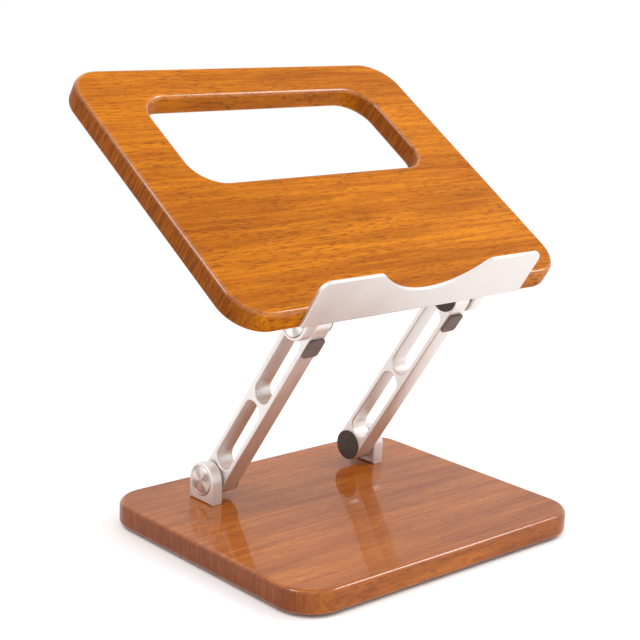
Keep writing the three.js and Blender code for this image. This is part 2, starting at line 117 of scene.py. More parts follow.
SWEEP_HALF = 12.0
sweep_mesh = bpy.data.meshes.new("paper_sweep")
sweep_corners = [(-SWEEP_HALF, -SWEEP_HALF, 0), (SWEEP_HALF, -SWEEP_HALF, 0)]
sweep_corners += [(SWEEP_HALF, SWEEP_HALF, 0), (-SWEEP_HALF, SWEEP_HALF, 0)]
sweep_mesh.from_pydata(sweep_corners, [], [(0, 1, 2, 3)])
sweep = bpy.data.objects.new("paper_sweep", sweep_mesh)
scene.collection.objects.link(sweep)
paper = bpy.data.materials.new("white_paper")
paper.use_nodes = True
paper_shader = paper.node_tree.nodes["Principled BSDF"]
paper_shader.inputs["Base Color"].default_value = (0.93, 0.93, 0.93, 1)
paper_shader.inputs["Roughness"].default_value = 0.9
paper_shader.inputs["Specular IOR Level"].default_value = 0.1
sweep_mesh.materials.append(paper)


# ---- Base board ------------------------------------------------------------------------------
# A solid wooden board with round corners, its edges rounded over on both faces and the whole
# lacquered to a high gloss. Wells in its underside take the feet, bored holes the ear screws.
BOARD_CORNER = 25 * MM
BOARD_ROUNDOVER = 3 * MM
CORNER_STEPS = 24
EDGE_HOLD = 0.25 * MM
SHADE_SHARP = math.radians(35)
MERGE_REACH = 1e-7
ROUNDOVER_STEPS = 8
PORE_DEPTH = 0.2 * MM


def arc(x, y, radius, start, end, steps, hollow=False):
    """Outline points (x, y, outward x, outward y) along an arc; a hollow arc bounds a hole."""
    points = []
    way = -1 if hollow else 1
    for step in range(steps + 1):
        turn = start + (end - start) * step / steps
        c, s = math.cos(turn), math.sin(turn)
        points.append((x + radius * c, y + radius * s, way * c, way * s))
    return points


def rounded_rectangle(width, height, radius, steps, hollow=False):
    """The outline of a rectangle with round corners; a hollow one runs the other way round."""
    x, y, quarter = width / 2 - radius, height / 2 - radius, math.pi / 2
    corners = [(x, -y, -quarter), (x, y, 0), (-x, y, quarter), (-x, -y, 2 * quarter)]
    points = []
    for cx, cy, start in corners:
        points += arc(cx, cy, radius, start, start + quarter, steps)
    if hollow:
        points = [(px, py, -nx, -ny) for px, py, nx, ny in reversed(points)]
    return points


def finish_mesh(name, bm, place, material):
    """An object of a bmesh, its place in its vertices, smooth between its sharp edges."""
    bmesh.ops.remove_doubles(bm, verts=bm.verts, dist=MERGE_REACH)
    bmesh.ops.recalc_face_normals(bm, faces=bm.faces)
    bm.transform(place)
    mesh = bpy.data.meshes.new(name)
    bm.to_mesh(mesh)
    bm.free()
    for face in mesh.polygons:
        face.use_smooth = True
    mesh.set_sharp_from_angle(angle=SHADE_SHARP)
    if material:
        mesh.materials.append(material)
    piece = bpy.data.objects.new(name, mesh)
    scene.collection.objects.link(piece)
    return piece


def eased_plate(name, outlines, thickness, ease, place, material=None, ease_steps=5):
    """A plate of even thickness along Z with rounded edges; the first outline is its outside."""
    rise = []
    for step in range(ease_steps + 1):
        turn = math.pi / 2 * step / ease_steps
        rise.append((ease * (1 - math.sin(turn)), ease * (1 - math.cos(turn))))
    levels = [(ease + EDGE_HOLD, 0)] + rise
    levels += [(inset, thickness - height) for inset, height in reversed(levels)]
    bm = bmesh.new()
    ends = ([], [])
    for outline in outlines:
        rings = [
            [bm.verts.new((x - nx * inset, y - ny * inset, height)) for x, y, nx, ny in outline]
            for inset, height in levels
        ]
        count = len(outline)
        for low, high in zip(rings, rings[1:]):
            for i in range(count):
                j = (i + 1) % count
                bm.faces.new((low[i], low[j], high[j], high[i]))
        for end, ring in zip(ends, (rings[0], rings[-1])):
            end += [bm.edges.get((ring[i], ring[(i + 1) % count])) for i in range(count)]
    for end in ends:
        bmesh.ops.triangle_fill(bm, edges=end, use_beauty=False, use_dissolve=False)
    return finish_mesh(name, bm, place, material)


def turned(name, profile, place, material=None, steps=64):
    """A piece turned about Z from (radius, height) points, from axis to axis or round a bore."""
    bm = bmesh.new()
    rings = []
    for radius, height in profile:
        if radius == 0:
            rings.append([bm.verts.new((0, 0, height))] * steps)
        else:
            turns = [2 * math.pi * i / steps for i in range(steps)]
            ring = [(radius * math.cos(t), radius * math.sin(t), height) for t in turns]
            rings.append([bm.verts.new(point) for point in ring])
    if profile[0][0] > 0:
        rings.append(rings[0])
    for low, high in zip(rings, rings[1:]):
        for i in range(steps):
            j = (i + 1) % steps
            corners = list(dict.fromkeys((low[i], low[j], high[j], high[i])))
            if len(corners) > 2:
                bm.faces.new(corners)
    return finish_mesh(name, bm, place, material)


def cut_with(piece, cutters, operation="DIFFERENCE"):
    """Takes the cutters out of a piece, or joins them to it, and leaves it a plain mesh."""
    for cutter in cutters:
        boolean = piece.modifiers.new("cut", "BOOLEAN")
        boolean.operation = operation
        boolean.solver = "EXACT"
        boolean.object = cutter
    bpy.context.view_layer.update()
    depsgraph = bpy.context.evaluated_depsgraph_get()
    cut_mesh = bpy.data.meshes.new_from_object(piece.evaluated_get(depsgraph))
    piece.modifiers.clear()
    old = piece.data
    piece.data = cut_mesh
    name = old.name
    bpy.data.meshes.remove(old)
    cut_mesh.name = name
    for face in cut_mesh.polygons:
        face.use_smooth = True
    cut_mesh.set_sharp_from_angle(angle=SHADE_SHARP)
    for cutter in cutters:
        bpy.data.meshes.remove(cutter.data)


def add_node(tree, kind, values=None, **settings):
    """A node in a tree with its settings, and values or links for its named inputs."""
    made = tree.nodes.new(kind)
    for setting, value in settings.items():
        setattr(made, setting, value)
    for socket, value in (values or {}).items():
        if isinstance(value, bpy.types.NodeSocket):
            tree.links.new(value, made.inputs[socket])
        else:
            made.inputs[socket].default_value = value
    return made


def new_group(name, kind, inputs, outputs):
    """A node group with its named sockets; returns the tree, its input node and output node."""
    tree = bpy.data.node_groups.new(name, kind)
    for socket, socket_kind in inputs.items():
        tree.interface.new_socket(socket, in_out="INPUT", socket_type=socket_kind)
    for socket, socket_kind in outputs.items():
        tree.interface.new_socket(socket, in_out="OUTPUT", socket_type=socket_kind)
    return tree, tree.nodes.new("NodeGroupInput"), tree.nodes.new("NodeGroupOutput")


def stretched_noise(tree, place, stretch, detail, roughness, distortion=0.0):
    """Noise over a place whose three directions are scaled by stretch."""
    scaled = add_node(tree, "ShaderNodeVectorMath", {0: place, 1: stretch}, operation="MULTIPLY")
    values = {"Vector": scaled.outputs["Vector"], "Scale": 1.0, "Detail": detail}
    values.update({"Roughness": roughness, "Distortion": distortion})
    return add_node(tree, "ShaderNodeTexNoise", values).outputs["Fac"]


def mixed(tree, factor, first, second):
    """Two colours mixed by a factor."""
    made = add_node(tree, "ShaderNodeMix", data_type="RGBA")
    for index, value in ((0, factor), (6, first), (7, second)):
        if isinstance(value, bpy.types.NodeSocket):
            tree.links.new(value, made.inputs[index])
        else:
            made.inputs[index].default_value = value
    return made.outputs[2]


# Grain along the board's X: broad bands of tone, growth lines and short open pores. Its ends
# are darker and show the growth lines as streaks through the thickness. Edge is 1 on roundovers,
# where the lacquer has gathered.
grain, grain_in, grain_out = new_group(
    "wood_grain", "ShaderNodeTree",
    {"Place": "NodeSocketVector", "Facing": "NodeSocketVector", "Light": "NodeSocketColor",
     "Dark": "NodeSocketColor", "Pore": "NodeSocketColor", "Figure": "NodeSocketFloat",
     "Pore Amount": "NodeSocketFloat"},
    {"Color": "NodeSocketColor", "Height": "NodeSocketFloat", "Gloss": "NodeSocketFloat",
     "Edge": "NodeSocketFloat"},
)


def fitted(tree, value, low, high, new_low=0.0, new_high=1.0):
    """A value taken from one range to another and held between its ends."""
    spans = {"Value": value, "From Min": low, "From Max": high}
    spans.update({"To Min": new_low, "To Max": new_high})
    return add_node(tree, "ShaderNodeMapRange", spans).outputs[0]


def sum_of(tree, first, second, operation="ADD"):
    """The result of one sum on two values or sockets."""
    return add_node(tree, "ShaderNodeMath", {0: first, 1: second}, operation=operation).outputs[0]


place_in = grain_in.outputs["Place"]
light_in, dark_in = grain_in.outputs["Light"], grain_in.outputs["Dark"]
bands = stretched_noise(grain, place_in, (4.0, 30.0, 30.0), 3.0, 0.55, 0.8)
fine_bands = stretched_noise(grain, place_in, (11.0, 230.0, 90.0), 4.0, 0.65, 0.5)
lines = stretched_noise(grain, place_in, (20.0, 760.0, 190.0), 3.0, 0.65)
pores = stretched_noise(grain, place_in, (150.0, 1300.0, 500.0), 2.0, 0.6)
patches = stretched_noise(grain, place_in, (20.0, 45.0, 45.0), 2.0, 0.5)
half_bands = sum_of(grain, bands, 0.5, "MULTIPLY")
tone = sum_of(grain, half_bands, sum_of(grain, fine_bands, 0.5, "MULTIPLY"))
tone = sum_of(grain, fitted(grain, tone, 0.36, 0.64), grain_in.outputs["Figure"], "MULTIPLY")
lined = mixed(grain, tone, light_in, dark_in)
lined = mixed(grain, fitted(grain, lines, 0.46, 0.66, 0.0, 0.65), lined, dark_in)
patch_mask = fitted(grain, patches, 0.3, 0.6, 0.5)
pore_mask = sum_of(grain, fitted(grain, pores, 0.52, 0.64), patch_mask, "MULTIPLY")
pore_mask = sum_of(grain, pore_mask, grain_in.outputs["Pore Amount"], "MULTIPLY")
pored = mixed(grain, pore_mask, lined, grain_in.outputs["Pore"])
end_streaks = stretched_noise(grain, place_in, (20.0, 800.0, 60.0), 4.0, 0.65, 0.3)
end_colour = mixed(grain, fitted(grain, end_streaks, 0.3, 0.62), dark_in, grain_in.outputs["Pore"])
facing = add_node(grain, "ShaderNodeSeparateXYZ", {0: grain_in.outputs["Facing"]})
end_mask = fitted(grain, sum_of(grain, facing.outputs["X"], 0, "ABSOLUTE"), 0.45, 0.9, 0.0, 0.92)
coloured = mixed(grain, end_mask, pored, end_colour)
grain.links.new(coloured, grain_out.inputs["Color"])
grain.links.new(sum_of(grain, 1.0, pore_mask, "SUBTRACT"), grain_out.inputs["Height"])
grain.links.new(fitted(grain, tone, 0.0, 1.0, 0.36, 0.48), grain_out.inputs["Gloss"])
upward = sum_of(grain, facing.outputs["Z"], 0, "ABSOLUTE")
off_face = fitted(grain, upward, 0.998, 0.975)
edge = sum_of(grain, off_face, fitted(grain, upward, 0.2, 0.5), "MULTIPLY")
grain.links.new(edge, grain_out.inputs["Edge"])


def lacquered_wood(name, light, dark, pore, figure, pore_amount, tilt, shift, coat, coat_roughness):
    """Wood under clear lacquer, its grain lying in a board that is tilted about X."""
    material = bpy.data.materials.new(name)
    material.use_nodes = True
    tree = material.node_tree
    shader = tree.nodes["Principled BSDF"]
    spot = add_node(tree, "ShaderNodeTexCoord")
    laid = add_node(tree, "ShaderNodeMapping", {"Vector": spot.outputs["Object"]})
    laid.inputs["Rotation"].default_value = (-tilt, 0, 0)
    laid.inputs["Location"].default_value = shift
    facing_way = add_node(
        tree, "ShaderNodeMapping", {"Vector": spot.outputs["Normal"]}, vector_type="VECTOR",
    )
    facing_way.inputs["Rotation"].default_value = (-tilt, 0, 0)
    values = {"Place": laid.outputs[0], "Facing": facing_way.outputs[0]}
    values.update({"Light": (*light, 1), "Dark": (*dark, 1), "Pore": (*pore, 1)})
    values.update({"Figure": figure, "Pore Amount": pore_amount})
    wood = add_node(tree, "ShaderNodeGroup", values, node_tree=grain)
    coat_depth = fitted(tree, wood.outputs["Edge"], 0.0, 1.0, coat, 1.0)
    tree.links.new(coat_depth, shader.inputs["Coat Weight"])
    tree.links.new(wood.outputs["Color"], shader.inputs["Base Color"])
    tree.links.new(wood.outputs["Gloss"], shader.inputs["Roughness"])
    relief = add_node(
        tree, "ShaderNodeBump",
        {"Height": wood.outputs["Height"], "Strength": 0.1, "Distance": PORE_DEPTH},
    )
    tree.links.new(relief.outputs[0], shader.inputs["Normal"])
    shader.inputs["Specular IOR Level"].default_value = 0.05
    shader.inputs["Coat Roughness"].default_value = coat_roughness
    shader.inputs["Coat IOR"].default_value = 1.5
    shader.inputs["IOR"].default_value = 1.45
    return material


def box_middle(node):
    """The middle of a node's box."""
    low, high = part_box(node)
    return (low + high) / 2


base_wood = lacquered_wood(
    "base_wood", light=(0.50, 0.148, 0.010), dark=(0.25, 0.058, 0.005), pore=(0.12, 0.022, 0.003),
    figure=0.95, pore_amount=0.5, tilt=0.0, shift=(0.3, 0.1, 0.0), coat=0.5, coat_roughness=0.04,
)
base_low, base_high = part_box("base_board")
base_width, base_depth, base_thickness = base_high - base_low
base_middle = box_middle("base_board")
foot_nodes = sorted(n for n in frame["nodes"] if n.startswith("foot_"))
foot_places = [box_middle(n) for n in foot_nodes]
ear_screw_nodes = sorted(n for n in frame["nodes"] if n.startswith("base_ear_screw_"))
ear_screw_places = [box_middle(n) for n in ear_screw_nodes]
base_board = eased_plate(
    "base_plank", [rounded_rectangle(base_width, base_depth, BOARD_CORNER, CORNER_STEPS)],
    base_thickness, BOARD_ROUNDOVER, Matrix.Translation((base_middle.x, base_middle.y, base_low.z)),
    base_wood, ease_steps=ROUNDOVER_STEPS,
)
FOOT_WELL_RADIUS = 8.3 * MM
FOOT_WELL_DEPTH = 1.75 * MM
well_profile = [(0, -MM), (FOOT_WELL_RADIUS, -MM)]
well_profile += [(FOOT_WELL_RADIUS, FOOT_WELL_DEPTH), (0, FOOT_WELL_DEPTH)]
foot_wells = [
    turned("foot_well", well_profile, Matrix.Translation((spot.x, spot.y, base_low.z)))
    for spot in foot_places
]
SCREW_MOUTH = 3.4 * MM
SCREW_MOUTH_DEPTH = 0.3 * MM
SCREW_CONE_DEPTH = 2 * MM
SCREW_BORE = 1.8 * MM
SCREW_HOLE_STEPS = 32


def screw_hole(place, depth):
    """A cutter for a countersunk hole from a face at height 0 up to a depth."""
    profile = [(0, -MM), (SCREW_MOUTH, -MM), (SCREW_MOUTH, SCREW_MOUTH_DEPTH)]
    profile += [(SCREW_BORE, SCREW_CONE_DEPTH), (SCREW_BORE, depth), (0, depth)]
    return turned("screw_hole", profile, place, steps=SCREW_HOLE_STEPS)


screw_holes = [
    screw_hole(Matrix.Translation((spot.x, spot.y, base_low.z)), base_thickness + MM)
    for spot in ear_screw_places
]
cut_with(base_board, foot_wells + screw_holes)
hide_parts("base_board")
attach(base_board, "base")


# ---- Feet ------------------------------------------------------------------------------------
# Four moulded rubber feet, each a round ring with a dished middle, pressed into a well in the
# base so that half of it stands proud and lifts the board clear of the desk.
FOOT_RIM = 3 * MM
FOOT_ROUNDING = 0.6 * MM
FOOT_WEB_SHARE = 0.6
FOOT_STEPS = 64
SKIN_DEPTH = 0.08 * MM
SKIN_TOOTH_SCALE = 5200.0
SKIN_CLOUD_SCALE = 160.0

# Moulded skin: a fine tooth, and slow clouds between a deeper and a paler tone of one colour.
skin, skin_in, skin_out = new_group(
    "moulded_skin", "ShaderNodeTree",
    {"Place": "NodeSocketVector", "Deeper": "NodeSocketColor", "Paler": "NodeSocketColor"},
    {"Color": "NodeSocketColor", "Height": "NodeSocketFloat"},
)
skin_tooth = stretched_noise(skin, skin_in.outputs["Place"], (SKIN_TOOTH_SCALE,) * 3, 3.0, 0.6)
skin_cloud = stretched_noise(skin, skin_in.outputs["Place"], (SKIN_CLOUD_SCALE,) * 3, 2.0, 0.5)
skin_cloud = fitted(skin, skin_cloud, 0.35, 0.65)
skin_tone = mixed(skin, skin_cloud, skin_in.outputs["Deeper"], skin_in.outputs["Paler"])
skin.links.new(skin_tone, skin_out.inputs["Color"])
skin.links.new(skin_tooth, skin_out.inputs["Height"])


def matt_skin(name, colour, roughness, speckle):
    """Rubber or plastic with a fine moulded skin and a slight unevenness of colour."""
    material = bpy.data.materials.new(name)
    material.use_nodes = True
    tree = material.node_tree
    shader = tree.nodes["Principled BSDF"]
    spot = add_node(tree, "ShaderNodeTexCoord").outputs["Object"]
    moulded = add_node(tree, "ShaderNodeGroup", {"Place": spot}, node_tree=skin)
    for socket, share in (("Deeper", 1 - speckle), ("Paler", 1 + speckle)):
        tone = [min(1.0, channel * share) for channel in colour]
        moulded.inputs[socket].default_value = (*tone, 1)
    tree.links.new(moulded.outputs["Color"], shader.inputs["Base Color"])
    relief = add_node(
        tree, "ShaderNodeBump",
        {"Height": moulded.outputs["Height"], "Strength": 0.2, "Distance": SKIN_DEPTH},
    )
    tree.links.new(relief.outputs[0], shader.inputs["Normal"])
    shader.inputs["Roughness"].default_value = roughness
    shader.inputs["Specular IOR Level"].default_value = 0.35
    return material


foot_rubber = matt_skin("foot_rubber", (0.028, 0.025, 0.023), roughness=0.75, speckle=0.15)
foot_low, foot_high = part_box("foot_front_left")
foot_radius = (foot_high.x - foot_low.x) / 2
foot_height = foot_high.z - foot_low.z

# One foot is a rounded rim with a thinner web across its middle, set on every place.
feet_tree, feet_in, feet_out = new_group(
    "foot_set", "GeometryNodeTree",
    {"Places": "NodeSocketGeometry", "Radius": "NodeSocketFloat", "Height": "NodeSocketFloat",
     "Rim": "NodeSocketFloat", "Rounding": "NodeSocketFloat", "Material": "NodeSocketMaterial"},
    {"Geometry": "NodeSocketGeometry"},
)
rim_half = sum_of(feet_tree, feet_in.outputs["Rim"], 0.5, "MULTIPLY")
rim_radius = sum_of(feet_tree, feet_in.outputs["Radius"], rim_half, "SUBTRACT")
rim_path = add_node(
    feet_tree, "GeometryNodeCurvePrimitiveCircle", {"Resolution": FOOT_STEPS, "Radius": rim_radius},
)
upright = add_node(
    feet_tree, "GeometryNodeSetCurveNormal", {"Curve": rim_path.outputs["Curve"]}, mode="Z_UP",
)
section = add_node(
    feet_tree, "GeometryNodeCurvePrimitiveQuadrilateral",
    {"Width": feet_in.outputs["Rim"], "Height": feet_in.outputs["Height"]},
)
section = add_node(
    feet_tree, "GeometryNodeFilletCurve",
    {"Curve": section.outputs["Curve"], "Radius": feet_in.outputs["Rounding"], "Count": 4}, mode="POLY",
)
rim = add_node(
    feet_tree, "GeometryNodeCurveToMesh",
    {"Curve": upright.outputs["Curve"], "Profile Curve": section.outputs["Curve"]},
)
web = add_node(
    feet_tree, "GeometryNodeMeshCylinder",
    {"Vertices": FOOT_STEPS, "Radius": rim_radius,
     "Depth": sum_of(feet_tree, feet_in.outputs["Height"], FOOT_WEB_SHARE, "MULTIPLY")},
)
one_foot = add_node(feet_tree, "GeometryNodeMeshBoolean", operation="UNION")
feet_tree.links.new(rim.outputs["Mesh"], one_foot.inputs["Mesh 2"])
feet_tree.links.new(web.outputs["Mesh"], one_foot.inputs["Mesh 2"])
all_feet = add_node(
    feet_tree, "GeometryNodeInstanceOnPoints",
    {"Points": feet_in.outputs["Places"], "Instance": one_foot.outputs["Mesh"]},
)
all_feet = add_node(feet_tree, "GeometryNodeRealizeInstances", {"Geometry": all_feet.outputs[0]})
all_feet = add_node(
    feet_tree, "GeometryNodeSetMaterial",
    {"Geometry": all_feet.outputs[0], "Material": feet_in.outputs["Material"]},
)
feet_tree.links.new(all_feet.outputs[0], feet_out.inputs["Geometry"])


def grown_from_places(name, places, tree, sizes):
    """The plain mesh that a geometry tree makes on a set of places."""
    mesh = bpy.data.meshes.new(name + "_places")
    mesh.from_pydata([tuple(place) for place in places], [], [])
    piece = bpy.data.objects.new(name, mesh)
    scene.collection.objects.link(piece)
    modifier = piece.modifiers.new("grow", "NODES")
    modifier.node_group = tree
    for item in tree.interface.items_tree:
        if item.in_out == "INPUT" and item.name in sizes:
            modifier[item.identifier] = sizes[item.name]
    bpy.context.view_layer.update()
    depsgraph = bpy.context.evaluated_depsgraph_get()
    grown = bpy.data.meshes.new_from_object(piece.evaluated_get(depsgraph))
    piece.modifiers.clear()
    piece.data = grown
    grown.name = name
    bpy.data.meshes.remove(mesh)
    for face in grown.polygons:
        face.use_smooth = True
    grown.set_sharp_from_angle(angle=SHADE_SHARP)
    return piece


feet = grown_from_places("rubber_feet", foot_places, feet_tree, {
    "Radius": foot_radius, "Height": foot_height, "Rim": FOOT_RIM, "Rounding": FOOT_ROUNDING,
    "Material": foot_rubber,
})
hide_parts(*[n for n in frame["nodes"] if n.startswith("foot_")])
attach(feet, "base")


# ---- Hinge ears ------------------------------------------------------------------------------
# Four sawn and milled aluminium ears with round tops: two stand on the base and two hang under
# the tray, outside the arms. Each has a stepped bore for the hinge bolt, its head and its disc.
joints = {joint["name"]: joint for joint in frame["joints"]}
lower_axis = Vector(joints["arm_pivot"]["pos_m"])
upper_axis = Vector(joints["tray_tilt"]["pos_m"])
ARM_LEAN = math.radians(33.9)
TRAY_TILT = math.radians(32.4)
base_hinge = Matrix.Translation(lower_axis)
arm_frame = base_hinge @ Matrix.Rotation(ARM_LEAN, 4, "X")
tray_frame = Matrix.Translation(upper_axis) @ Matrix.Rotation(TRAY_TILT, 4, "X")

ACROSS_X = Matrix(((0, 0, 1, 0), (1, 0, 0, 0), (0, 1, 0, 0), (0, 0, 0, 1)))
EAR_EASE = 1.1 * MM
EAR_RADIUS = 11.9 * MM
EAR_AXIS_HEIGHT = 13.8 * MM
EAR_STEPS = 40
BLAST_TOOTH_SCALE = 3600.0
BLAST_CLOUD_SCALE = 42.0

# Satin metal: a fine blasted tooth, and faint clouds in its tone and its roughness.
blast, blast_in, blast_out = new_group(
    "blasted_metal", "ShaderNodeTree",
    {"Place": "NodeSocketVector", "Colour": "NodeSocketColor", "Roughness": "NodeSocketFloat"},
    {"Color": "NodeSocketColor", "Roughness": "NodeSocketFloat", "Height": "NodeSocketFloat"},
)
tooth = stretched_noise(blast, blast_in.outputs["Place"], (BLAST_TOOTH_SCALE,) * 3, 3.0, 0.7)
cloud = stretched_noise(blast, blast_in.outputs["Place"], (BLAST_CLOUD_SCALE,) * 3, 3.0, 0.5)
smear = fitted(blast, cloud, 0.3, 0.7, -0.05, 0.05)
smear = sum_of(blast, smear, blast_in.outputs["Roughness"])
shade = fitted(blast, cloud, 0.3, 0.7, 0.955, 1.0)
toned = add_node(
    blast, "ShaderNodeVectorMath", {0: blast_in.outputs["Colour"], "Scale": shade}, operation="SCALE",
)
blast.links.new(toned.outputs[0], blast_out.inputs["Color"])
blast.links.new(smear, blast_out.inputs["Roughness"])
blast.links.new(tooth, blast_out.inputs["Height"])


def satin_metal(name, colour, roughness, metallic, tooth_depth):
    """Blasted or plated metal with a colour, a roughness and a depth of tooth."""
    material = bpy.data.materials.new(name)
    material.use_nodes = True
    tree = material.node_tree
    shader = tree.nodes["Principled BSDF"]
    spot = add_node(tree, "ShaderNodeTexCoord").outputs["Object"]
    values = {"Place": spot, "Colour": (*colour, 1), "Roughness": roughness}
    metal = add_node(tree, "ShaderNodeGroup", values, node_tree=blast)
    tree.links.new(metal.outputs["Color"], shader.inputs["Base Color"])
    tree.links.new(metal.outputs["Roughness"], shader.inputs["Roughness"])
    relief = add_node(
        tree, "ShaderNodeBump",
        {"Height": metal.outputs["Height"], "Strength": 0.15, "Distance": tooth_depth},
    )
    tree.links.new(relief.outputs[0], shader.inputs["Normal"])
    shader.inputs["Metallic"].default_value = metallic
    return material


satin_aluminium = satin_metal(
    "satin_aluminium", (0.80, 0.752, 0.728), roughness=0.46, metallic=0.8, tooth_depth=0.06 * MM,
)
ear_outline = arc(0, 0, EAR_RADIUS, 0, math.pi, EAR_STEPS)
ear_outline += [(-EAR_RADIUS, -EAR_AXIS_HEIGHT, -1, -1), (EAR_RADIUS, -EAR_AXIS_HEIGHT, 1, -1)]
sides = {"left": -1, "right": 1}
ear_inner_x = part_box("base_ear_right")[0].x
ear_outer_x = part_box("base_ear_right")[1].x
disc_outer_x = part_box("lower_disc_right")[1].x
disc_inner_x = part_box("lower_disc_right")[0].x
BOLT_BORE = 3.3 * MM
HEAD_WELL = 5.7 * MM
HEAD_WELL_DEPTH = 3 * MM
DISC_WELL = 9.9 * MM
EAR_SCREW_DEPTH = 7.3 * MM
EAR_SCREW_SPACING = 15 * MM
SEAT_GAP = 0.25 * MM
BORE_STEPS = 96
HOLE_STEPS = 24


def outward(side):
    """A frame whose Z axis points out along X on one side of the stand."""
    return Matrix.Rotation(side * math.pi / 2, 4, "Y")


def hinge_ear(name, side, place, node, body):
    """One finished ear at a hinge, standing on its foot in the hinge's frame."""
    near = side * (ear_inner_x if side > 0 else ear_outer_x)
    piece = eased_plate(
        name, [ear_outline], ear_outer_x - ear_inner_x, EAR_EASE,
        place @ Matrix.Translation((near, 0, 0)) @ ACROSS_X, satin_aluminium,
    )
    disc_well_x = disc_inner_x - SEAT_GAP
    head_well_x = disc_well_x - HEAD_WELL_DEPTH
    bore = [(0, ear_inner_x - MM), (BOLT_BORE, ear_inner_x - MM), (BOLT_BORE, head_well_x)]
    bore += [(HEAD_WELL, head_well_x), (HEAD_WELL, disc_well_x), (DISC_WELL, disc_well_x)]
    bore += [(DISC_WELL, ear_outer_x + MM), (0, ear_outer_x + MM)]
    cutters = [turned("stepped_bore", bore, place @ outward(side), steps=BORE_STEPS)]
    middle_x = side * (ear_inner_x + ear_outer_x) / 2
    for end in (-1, 1):
        hole = [(0, -MM), (SCREW_BORE, -MM), (SCREW_BORE, EAR_SCREW_DEPTH), (0, EAR_SCREW_DEPTH)]
        spot = Matrix.Translation((middle_x, end * EAR_SCREW_SPACING / 2, -EAR_AXIS_HEIGHT))
        cutters.append(turned("tapped_hole", hole, place @ spot, steps=HOLE_STEPS))
    cut_with(piece, cutters)
    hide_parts(node)
    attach(piece, body)


for side_name, side in sides.items():
    hinge_ear(f"lower_{side_name}_ear", side, base_hinge, f"base_ear_{side_name}", "base")
    hanging = tray_frame @ Matrix.Rotation(math.pi, 4, "X")
    hinge_ear(f"upper_{side_name}_ear", side, hanging, f"tray_ear_{side_name}", "tray")


# ---- Ear screws and studs --------------------------------------------------------------------
# Countersunk hexagon-socket screws come up through the base into the lower ears. The upper ears
# hang on threaded studs that are glued into the tray, so no screw shows in the tray's top.
steel = satin_metal(
    "zinc_plated_steel", (0.50, 0.49, 0.47), roughness=0.32, metallic=1.0, tooth_depth=0.03 * MM,
)
SCREW_HEAD_RADIUS = 3.1 * MM
SCREW_HEAD_HEIGHT = 1.7 * MM
SCREW_SHANK_RADIUS = 1.5 * MM
SCREW_SOCKET_RADIUS = 1.25 * MM
SCREW_STEPS = 48

# One screw stands on its head's face: a cone and a shank with a hexagonal socket, set on every place.
screw_tree, screw_in, screw_out = new_group(
    "socket_screw_set", "GeometryNodeTree",
    {"Places": "NodeSocketGeometry", "Length": "NodeSocketFloat", "Head Radius": "NodeSocketFloat",
     "Head Height": "NodeSocketFloat", "Shank Radius": "NodeSocketFloat",
     "Socket Radius": "NodeSocketFloat", "Tilt": "NodeSocketVector", "Material": "NodeSocketMaterial"},
    {"Geometry": "NodeSocketGeometry"},
)


def raised(tree, mesh, height):
    """A mesh moved up along Z by a height."""
    offset = add_node(tree, "ShaderNodeCombineXYZ", {"Z": height}).outputs[0]
    return add_node(tree, "GeometryNodeTransform", {"Geometry": mesh, "Translation": offset}).outputs[0]


screw_sizes = screw_in.outputs
head = add_node(
    screw_tree, "GeometryNodeMeshCone",
    {"Vertices": SCREW_STEPS, "Radius Top": screw_sizes["Shank Radius"],
     "Radius Bottom": screw_sizes["Head Radius"], "Depth": screw_sizes["Head Height"]},
).outputs["Mesh"]
shank = add_node(
    screw_tree, "GeometryNodeMeshCylinder",
    {"Vertices": SCREW_STEPS, "Radius": screw_sizes["Shank Radius"],
     "Depth": sum_of(screw_tree, screw_sizes["Length"], screw_sizes["Head Height"], "SUBTRACT")},
).outputs["Mesh"]
shank_middle = sum_of(screw_tree, screw_sizes["Length"], screw_sizes["Head Height"])
shank = raised(screw_tree, shank, sum_of(screw_tree, shank_middle, 0.5, "MULTIPLY"))
whole = add_node(screw_tree, "GeometryNodeMeshBoolean", operation="UNION")
screw_tree.links.new(head, whole.inputs["Mesh 2"])
screw_tree.links.new(shank, whole.inputs["Mesh 2"])
socket = add_node(
    screw_tree, "GeometryNodeMeshCylinder",
    {"Vertices": 6, "Radius": screw_sizes["Socket Radius"], "Depth": screw_sizes["Head Height"]},
).outputs["Mesh"]
drilled = add_node(
    screw_tree, "GeometryNodeMeshBoolean", {"Mesh 1": whole.outputs["Mesh"]}, operation="DIFFERENCE",
)
screw_tree.links.new(socket, drilled.inputs["Mesh 2"])
tilt = add_node(screw_tree, "FunctionNodeEulerToRotation", {"Euler": screw_sizes["Tilt"]})
screws = add_node(
    screw_tree, "GeometryNodeInstanceOnPoints",
    {"Points": screw_sizes["Places"], "Instance": drilled.outputs["Mesh"], "Rotation": tilt.outputs[0]},
)
screws = add_node(screw_tree, "GeometryNodeRealizeInstances", {"Geometry": screws.outputs[0]})
screws = add_node(
    screw_tree, "GeometryNodeSetMaterial",
    {"Geometry": screws.outputs[0], "Material": screw_sizes["Material"]},
)
screw_tree.links.new(screws.outputs[0], screw_out.inputs["Geometry"])

screw_low, screw_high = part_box(ear_screw_nodes[0])
screw_size = {
    "Head Radius": SCREW_HEAD_RADIUS, "Head Height": SCREW_HEAD_HEIGHT,
    "Shank Radius": SCREW_SHANK_RADIUS, "Socket Radius": SCREW_SOCKET_RADIUS,
    "Tilt": (0.0, 0.0, 0.0), "Material": steel,
}
ear_screws = grown_from_places(
    "ear_screws", [(spot.x, spot.y, screw_low.z) for spot in ear_screw_places], screw_tree,
    {**screw_size, "Length": screw_high.z - screw_low.z},
)
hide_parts(*ear_screw_nodes)
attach(ear_screws, "base")


def refinish(names, material):
    """Gives carried-over pieces their own finish."""
    for name in names:
        node = frame["nodes"][name]
        node.data.materials.clear()
        node.data.materials.append(material)


refinish([n for n in frame["nodes"] if n.startswith("tray_ear_stud_")], steel)


